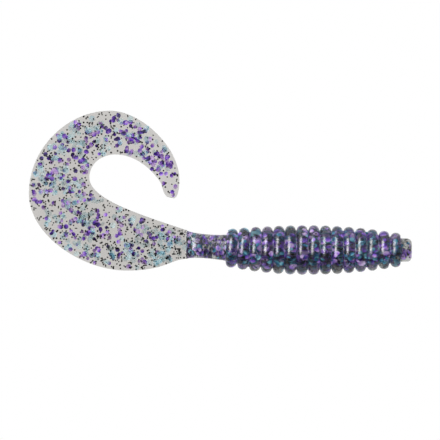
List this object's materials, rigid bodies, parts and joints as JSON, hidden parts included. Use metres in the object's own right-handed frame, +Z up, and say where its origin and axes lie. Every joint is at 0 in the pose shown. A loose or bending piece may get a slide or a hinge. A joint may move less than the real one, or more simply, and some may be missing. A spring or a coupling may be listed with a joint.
{
  "type": "soft plastic fishing worm",
  "caption": "Soft plastic curly-tail worm: a ringed tapering body with a blunt nose, a round neck and a flat translucent curled tail blade, flexing at its grooves and along the tail.",
  "frame": {"origin": "centre of the flat nose face, where a jig head seats", "axes": "+X out of the nose along the body's axis, +Z up in the plane of the flat tail blade, +Y across the blade"},
  "size_m": [0.1023, 0.0132, 0.0437],
  "materials": {
    "body_smoke": "gloss, smoke-tinted translucent plastisol",
    "tail_smoke": "gloss, clear smoke plastisol, thin enough to see through",
    "black_flake": "fine black pepper flake embedded in the plastisol",
    "purple_flake": "metallic purple foil flake embedded in the plastisol",
    "teal_flake": "fine blue-green foil flake embedded in the plastisol"
  },
  "bodies": {
    "head": {"nose": "body_smoke", "ring_01": "body_smoke"},
    "ring_02": {"ring_02": "body_smoke"},
    "ring_03": {"ring_03": "body_smoke"},
    "ring_04": {"ring_04": "body_smoke"},
    "ring_05": {"ring_05": "body_smoke"},
    "ring_06": {"ring_06": "body_smoke"},
    "ring_07": {"ring_07": "body_smoke"},
    "ring_08": {"ring_08": "body_smoke"},
    "ring_09": {"ring_09": "body_smoke"},
    "ring_10": {"ring_10": "body_smoke"},
    "ring_11": {"ring_11": "body_smoke"},
    "ring_12": {"ring_12": "body_smoke"},
    "ring_13": {"ring_13": "body_smoke"},
    "ring_14": {"ring_14": "body_smoke"},
    "ring_15": {"ring_15": "body_smoke"},
    "neck": {"neck": "body_smoke"},
    "blade_01": {"blade_01": "tail_smoke"},
    "blade_02": {"blade_02": "tail_smoke"},
    "blade_03": {"blade_03": "tail_smoke"},
    "blade_04": {"blade_04": "tail_smoke"},
    "blade_05": {"blade_05": "tail_smoke"},
    "blade_06": {"blade_06": "tail_smoke"},
    "blade_07": {"blade_07": "tail_smoke"},
    "blade_08": {"blade_08": "tail_smoke"},
    "blade_09": {"blade_09": "tail_smoke"},
    "blade_10": {"blade_10": "tail_smoke"},
    "blade_11": {"blade_11": "tail_smoke"}
  },
  "joints": [
    {"name": "body_sway", "type": "hinge", "parent": "head", "child": "ring_02", "pos_m": [-0.00579, 0, 0], "axis": [0, 0.0087, -1], "range_deg": [-4, 4], "stiffness_Nm_per_rad": 0.05},
    {"name": "body_arch", "type": "hinge", "parent": "ring_02", "child": "ring_03", "pos_m": [-0.00891, 0, 0], "axis": [0, 1, 0.0087], "range_deg": [-4, 4], "stiffness_Nm_per_rad": 0.15},
    {"name": "sway_03", "type": "hinge", "parent": "ring_03", "child": "ring_04", "pos_m": [-0.01204, 0, 0], "axis": [0, 0.0087, -1], "range_deg": [-4, 4], "stiffness_Nm_per_rad": 0.05},
    {"name": "arch_04", "type": "hinge", "parent": "ring_04", "child": "ring_05", "pos_m": [-0.01516, 0, 0], "axis": [0, 1, 0.0087], "range_deg": [-4, 4], "stiffness_Nm_per_rad": 0.15},
    {"name": "sway_05", "type": "hinge", "parent": "ring_05", "child": "ring_06", "pos_m": [-0.01827, 0, 0], "axis": [0, 0.0087, -1], "range_deg": [-4, 4], "stiffness_Nm_per_rad": 0.05},
    {"name": "arch_06", "type": "hinge", "parent": "ring_06", "child": "ring_07", "pos_m": [-0.0214, 0, 0], "axis": [0, 1, 0.0087], "range_deg": [-4, 4], "stiffness_Nm_per_rad": 0.15},
    {"name": "sway_07", "type": "hinge", "parent": "ring_07", "child": "ring_08", "pos_m": [-0.02451, 0, 0], "axis": [0, 0.0087, -1], "range_deg": [-4, 4], "stiffness_Nm_per_rad": 0.05},
    {"name": "arch_08", "type": "hinge", "parent": "ring_08", "child": "ring_09", "pos_m": [-0.02763, 0, 0], "axis": [0, 1, 0.0087], "range_deg": [-4, 4], "stiffness_Nm_per_rad": 0.15},
    {"name": "sway_09", "type": "hinge", "parent": "ring_09", "child": "ring_10", "pos_m": [-0.03076, 0, 0], "axis": [0, 0.0087, -1], "range_deg": [-4, 4], "stiffness_Nm_per_rad": 0.05},
    {"name": "arch_10", "type": "hinge", "parent": "ring_10", "child": "ring_11", "pos_m": [-0.03388, 0, 0.00002], "axis": [0, 1, 0.0087], "range_deg": [-4, 4], "stiffness_Nm_per_rad": 0.15},
    {"name": "sway_11", "type": "hinge", "parent": "ring_11", "child": "ring_12", "pos_m": [-0.037, 0, 0.00008], "axis": [0, 0.0087, -1], "range_deg": [-4, 4], "stiffness_Nm_per_rad": 0.05},
    {"name": "arch_12", "type": "hinge", "parent": "ring_12", "child": "ring_13", "pos_m": [-0.04011, 0, 0.00016], "axis": [0, 1, 0.0087], "range_deg": [-4, 4], "stiffness_Nm_per_rad": 0.15},
    {"name": "sway_13", "type": "hinge", "parent": "ring_13", "child": "ring_14", "pos_m": [-0.04324, 0, 0.00027], "axis": [0, 0.0087, -1], "range_deg": [-4, 4], "stiffness_Nm_per_rad": 0.05},
    {"name": "arch_14", "type": "hinge", "parent": "ring_14", "child": "ring_15", "pos_m": [-0.04636, 0, 0.00042], "axis": [0, 1, 0.0087], "range_deg": [-4, 4], "stiffness_Nm_per_rad": 0.15},
    {"name": "sway_15", "type": "hinge", "parent": "ring_15", "child": "neck", "pos_m": [-0.04947, 0, 0.0006], "axis": [0, 0.0087, -1], "range_deg": [-4, 4], "stiffness_Nm_per_rad": 0.05},
    {"name": "tail_sweep", "type": "hinge", "parent": "neck", "child": "blade_01", "pos_m": [-0.06225, 0, 0.0014], "axis": [0, 0.0087, -1], "range_deg": [-15, 15], "stiffness_Nm_per_rad": 0.02},
    {"name": "tail_sweep_02", "type": "hinge", "parent": "blade_01", "child": "blade_02", "pos_m": [-0.0694, 0, 0.0014], "axis": [0, 0.0087, -1], "range_deg": [-15, 15], "stiffness_Nm_per_rad": 0.02},
    {"name": "tail_sweep_03", "type": "hinge", "parent": "blade_02", "child": "blade_03", "pos_m": [-0.07655, 0, 0.003], "axis": [0, 0.0087, -1], "range_deg": [-15, 15], "stiffness_Nm_per_rad": 0.02},
    {"name": "tail_sweep_04", "type": "hinge", "parent": "blade_03", "child": "blade_04", "pos_m": [-0.0843, 0, 0.00308], "axis": [-0.5, 0.0076, -0.866], "range_deg": [-15, 15], "stiffness_Nm_per_rad": 0.02},
    {"name": "tail_curl", "type": "hinge", "parent": "blade_04", "child": "blade_05", "pos_m": [-0.09171, 0, 0.00775], "axis": [-0.866, 0.0044, -0.5], "range_deg": [-12, 12], "stiffness_Nm_per_rad": 0.01},
    {"name": "tail_curl_06", "type": "hinge", "parent": "blade_05", "child": "blade_06", "pos_m": [-0.09355, 0, 0.0165], "axis": [-1, 0, 0], "range_deg": [-12, 12], "stiffness_Nm_per_rad": 0.01},
    {"name": "tail_curl_07", "type": "hinge", "parent": "blade_06", "child": "blade_07", "pos_m": [-0.09084, 0, 0.02475], "axis": [-0.866, -0.0044, 0.5], "range_deg": [-12, 12], "stiffness_Nm_per_rad": 0.01},
    {"name": "tail_flutter", "type": "hinge", "parent": "blade_07", "child": "blade_08", "pos_m": [-0.08455, 0, 0.03036], "axis": [-0.5, -0.0076, 0.866], "range_deg": [-12, 12], "stiffness_Nm_per_rad": 0.001},
    {"name": "tail_flutter_09", "type": "hinge", "parent": "blade_08", "child": "blade_09", "pos_m": [-0.07655, 0, 0.0315], "axis": [0, -0.0087, 1], "range_deg": [-12, 12], "stiffness_Nm_per_rad": 0.001},
    {"name": "tip_flick", "type": "hinge", "parent": "blade_09", "child": "blade_10", "pos_m": [-0.06955, 0, 0.02862], "axis": [0.5, -0.0076, 0.866], "range_deg": [-15, 15], "stiffness_Nm_per_rad": 0.001},
    {"name": "tip_flick_11", "type": "hinge", "parent": "blade_10", "child": "blade_11", "pos_m": [-0.06572, 0, 0.02275], "axis": [0.866, -0.0044, 0.5], "range_deg": [-15, 15], "stiffness_Nm_per_rad": 0.001}
  ],
  "couplings": [
    {"joint": "sway_03", "follows": "body_sway", "ratio": 1},
    {"joint": "arch_04", "follows": "body_arch", "ratio": 1},
    {"joint": "sway_05", "follows": "body_sway", "ratio": 1},
    {"joint": "arch_06", "follows": "body_arch", "ratio": 1},
    {"joint": "sway_07", "follows": "body_sway", "ratio": 1},
    {"joint": "arch_08", "follows": "body_arch", "ratio": 1},
    {"joint": "sway_09", "follows": "body_sway", "ratio": 1},
    {"joint": "arch_10", "follows": "body_arch", "ratio": 1},
    {"joint": "sway_11", "follows": "body_sway", "ratio": 1},
    {"joint": "arch_12", "follows": "body_arch", "ratio": 1},
    {"joint": "sway_13", "follows": "body_sway", "ratio": 1},
    {"joint": "arch_14", "follows": "body_arch", "ratio": 1},
    {"joint": "sway_15", "follows": "body_sway", "ratio": 1},
    {"joint": "tail_sweep_02", "follows": "tail_sweep", "ratio": 1},
    {"joint": "tail_sweep_03", "follows": "tail_sweep", "ratio": 1},
    {"joint": "tail_sweep_04", "follows": "tail_sweep", "ratio": 1},
    {"joint": "tail_curl_06", "follows": "tail_curl", "ratio": 1},
    {"joint": "tail_curl_07", "follows": "tail_curl", "ratio": 1},
    {"joint": "tail_flutter_09", "follows": "tail_flutter", "ratio": 1},
    {"joint": "tip_flick_11", "follows": "tip_flick", "ratio": 1}
  ]
}
